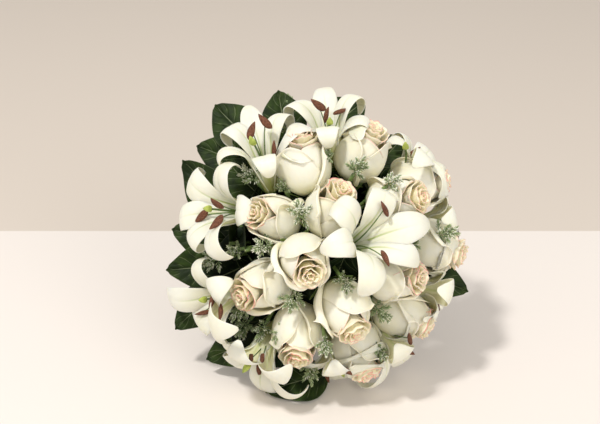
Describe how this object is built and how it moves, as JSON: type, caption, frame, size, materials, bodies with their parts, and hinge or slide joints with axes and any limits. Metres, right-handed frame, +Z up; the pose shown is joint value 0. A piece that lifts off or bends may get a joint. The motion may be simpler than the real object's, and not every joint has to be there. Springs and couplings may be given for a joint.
{
  "type": "bridal bouquet",
  "caption": "Round hand-tied bouquet of cream roses and white lilies with dark leaves and needle sprigs, lying on its side with its ribbon-wrapped stems behind.",
  "frame": {"origin": "on the table, under the middle of the bouquet's bounding box", "axes": "+Z up; the dome of flowers faces -Y and leans upward, and the stems run back and down along +Y; +X is to the right of someone who faces the flowers"},
  "size_m": [0.3035, 0.362, 0.2784],
  "materials": {
    "rose_petal": "soft matte cream petal, pink at the furled edges",
    "lily_petal": "soft matte white petal with a pale green midrib",
    "leaf": "dark green waxy leaf",
    "needle": "sage green needles",
    "stem": "green stem, paler where it is cut",
    "tape": "dull green binding tape",
    "ribbon": "ivory satin",
    "pearl": "pearl head on a thin pin"
  },
  "bodies": {
    "root": {"rose_01": "rose_petal", "rose_02": "rose_petal", "rose_03": "rose_petal", "rose_04": "rose_petal", "rose_05": "rose_petal", "rose_06": "rose_petal", "rose_07": "rose_petal", "rose_08": "rose_petal", "rose_09": "rose_petal", "rose_10": "rose_petal", "rose_11": "rose_petal", "rose_12": "rose_petal", "rose_13": "rose_petal", "rose_14": "rose_petal", "lily_01": "lily_petal", "lily_02": "lily_petal", "lily_03": "lily_petal", "lily_04": "lily_petal", "lily_05": "lily_petal", "lily_06": "lily_petal", "lily_07": "lily_petal", "lily_08": "lily_petal", "lily_09": "lily_petal", "lily_10": "lily_petal", "lily_11": "lily_petal", "leaf_01": "leaf", "leaf_02": "leaf", "leaf_03": "leaf", "leaf_04": "leaf", "leaf_05": "leaf", "leaf_06": "leaf", "leaf_07": "leaf", "leaf_08": "leaf", "leaf_09": "leaf", "leaf_10": "leaf", "leaf_11": "leaf", "leaf_12": "leaf", "leaf_13": "leaf", "leaf_14": "leaf", "sprig_01": "needle", "sprig_02": "needle", "sprig_03": "needle", "sprig_04": "needle", "sprig_05": "needle", "sprig_06": "needle", "sprig_07": "needle", "sprig_08": "needle", "sprig_09": "needle", "sprig_10": "needle", "sprig_11": "needle", "sprig_12": "needle", "sprig_13": "needle", "sprig_14": "needle", "flower_stalks": "stem", "handle_stems": "stem", "binding_tape": "tape", "ribbon_wrap": "ribbon", "pearl_pin_1": "pearl", "pearl_pin_2": "pearl", "pearl_pin_3": "pearl"}
  },
  "joints": []
}
